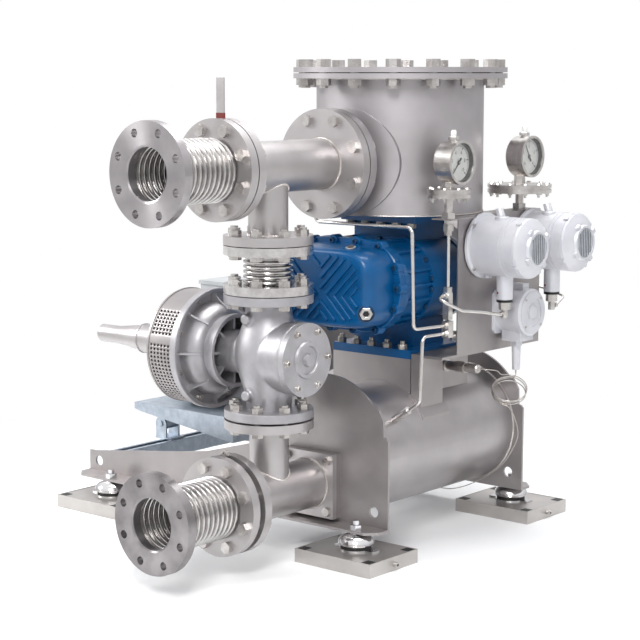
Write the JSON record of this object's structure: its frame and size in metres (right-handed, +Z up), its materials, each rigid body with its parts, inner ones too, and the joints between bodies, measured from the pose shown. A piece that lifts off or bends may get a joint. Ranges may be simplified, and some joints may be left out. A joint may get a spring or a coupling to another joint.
{
  "type": "rotary lobe blower package",
  "caption": "Belt-driven rotary lobe blower for process gas, with an inlet vessel, a discharge silencer base, a spring-loaded bypass valve and bellows connections.",
  "frame": {"origin": "on the floor, under the middle of the package's length and width", "axes": "+Z up, -Y the side of the two pipe connections, +X the side of the instruments"},
  "size_m": [1.14, 1.191, 1.124],
  "materials": {
    "stainless": "satin stainless steel, lightly blasted",
    "stainless_bright": "bright stainless steel",
    "zinc_steel": "zinc-plated steel",
    "blue_paint": "semi-gloss blue paint on cast iron",
    "grey_paint": "light grey paint",
    "cast_steel": "cast stainless steel",
    "machined_steel": "machined steel",
    "shaft_steel": "ground steel",
    "silver_paint": "silver-grey paint on die-cast aluminium",
    "rubber": "black rubber",
    "gasket": "grey sealing sheet",
    "pointer_black": "matt black",
    "glass": "clear glass",
    "chrome": "polished chrome"
  },
  "bodies": {
    "package": {"inlet_bellows": "stainless_bright", "outlet_bellows": "stainless_bright", "bellows_inner_flanges": "stainless", "inlet_strainer": "stainless", "inlet_tee": "stainless", "bypass_bellows": "stainless_bright", "inlet_vessel": "stainless", "vessel_lid": "stainless", "lid_gasket": "gasket", "discharge_tee": "stainless", "check_valve_body": "machined_steel", "valve_body": "cast_steel", "valve_cover": "cast_steel", "valve_bonnet": "cast_steel", "spring_guard": "stainless_bright", "spindle_tube": "stainless", "valve_spring": "shaft_steel", "gear_cover": "blue_paint", "sight_glass": "glass", "gear_side_plate": "blue_paint", "drive_side_plate": "blue_paint", "rotor_bearings": "shaft_steel", "blower_casing": "blue_paint", "front_end_plate": "stainless", "rear_end_plate": "stainless", "frame_rails": "zinc_steel", "foot_trays": "stainless", "mount_rubbers": "rubber", "mount_metalwork": "chrome", "silencer_shell": "stainless", "silencer_neck": "stainless", "motor_supports": "zinc_steel", "drive_belts": "rubber", "belt_guard": "stainless", "instrument_panel": "stainless", "pressure_gauges": "stainless_bright", "transmitters": "silver_paint", "temperature_switch": "silver_paint", "impulse_tubes": "stainless_bright", "tube_fittings": "stainless_bright", "capillary_tube": "stainless_bright", "capillary_coil": "stainless_bright", "flange_bolts": "stainless_bright"},
    "inlet_end": {"inlet_end_flange": "stainless"},
    "outlet_end": {"outlet_end_flange": "stainless"},
    "drive_train": {"drive_rotor": "machined_steel", "drive_gear": "machined_steel", "blower_pulley": "machined_steel"},
    "driven_train": {"driven_rotor": "machined_steel", "driven_gear": "machined_steel"},
    "motor_swing": {"motor_plate": "zinc_steel", "motor_housing": "grey_paint", "fan_cowl": "grey_paint"},
    "motor_shaft": {"motor_rotor": "shaft_steel", "motor_fan": "pointer_black", "motor_pulley": "machined_steel"},
    "valve_plug": {"valve_spindle": "shaft_steel"},
    "check_flap": {"check_valve_flap": "machined_steel"},
    "left_pointer": {"pointer_left": "pointer_black"},
    "right_pointer": {"pointer_right": "pointer_black"}
  },
  "joints": [
    {"name": "inlet_end_slide", "type": "slide", "parent": "package", "child": "inlet_end", "axis": [0, 1, 0], "range_m": [-0.006, 0.01], "stiffness_N_per_m": 40000, "deforming": ["inlet_bellows"]},
    {"name": "outlet_end_slide", "type": "slide", "parent": "package", "child": "outlet_end", "axis": [0, 1, 0], "range_m": [-0.006, 0.01], "stiffness_N_per_m": 40000, "deforming": ["outlet_bellows"]},
    {"name": "drive_rotor_spin", "type": "hinge", "parent": "package", "child": "drive_train", "pos_m": [0.138, 0.2465, 0.607], "axis": [0, 1, 0], "continuous": true},
    {"name": "driven_rotor_spin", "type": "hinge", "parent": "package", "child": "driven_train", "pos_m": [0.258, 0.2465, 0.607], "axis": [0, 1, 0], "continuous": true},
    {"name": "motor_plate_swing", "type": "hinge", "parent": "package", "child": "motor_swing", "pos_m": [-0.526, 0.2645, 0.166], "axis": [0, -1, 0], "range_deg": [0, 4], "deforming": ["drive_belts"]},
    {"name": "motor_spin", "type": "hinge", "parent": "motor_swing", "child": "motor_shaft", "pos_m": [-0.394, 0.2975, 0.364], "axis": [0, 1, 0], "continuous": true},
    {"name": "valve_lift", "type": "slide", "parent": "package", "child": "valve_plug", "axis": [-1, 0, 0], "range_m": [0, 0.015], "stiffness_N_per_m": 20000, "deforming": ["valve_spring"]},
    {"name": "check_flap_swing", "type": "hinge", "parent": "package", "child": "check_flap", "pos_m": [0.198, -0.372, 0.201], "axis": [-1, 0, 0], "range_deg": [0, 60]},
    {"name": "left_pointer_turn", "type": "hinge", "parent": "package", "child": "left_pointer", "pos_m": [0.455, 0.1285, 0.893], "axis": [-1, 0, 0], "range_deg": [0, 270]},
    {"name": "right_pointer_turn", "type": "hinge", "parent": "package", "child": "right_pointer", "pos_m": [0.413, 0.4765, 0.893], "axis": [-1, 0, 0], "range_deg": [-105, 165]}
  ],
  "couplings": [
    {"joint": "driven_rotor_spin", "follows": "drive_rotor_spin", "ratio": -1},
    {"joint": "motor_spin", "follows": "drive_rotor_spin", "ratio": 0.78947}
  ]
}
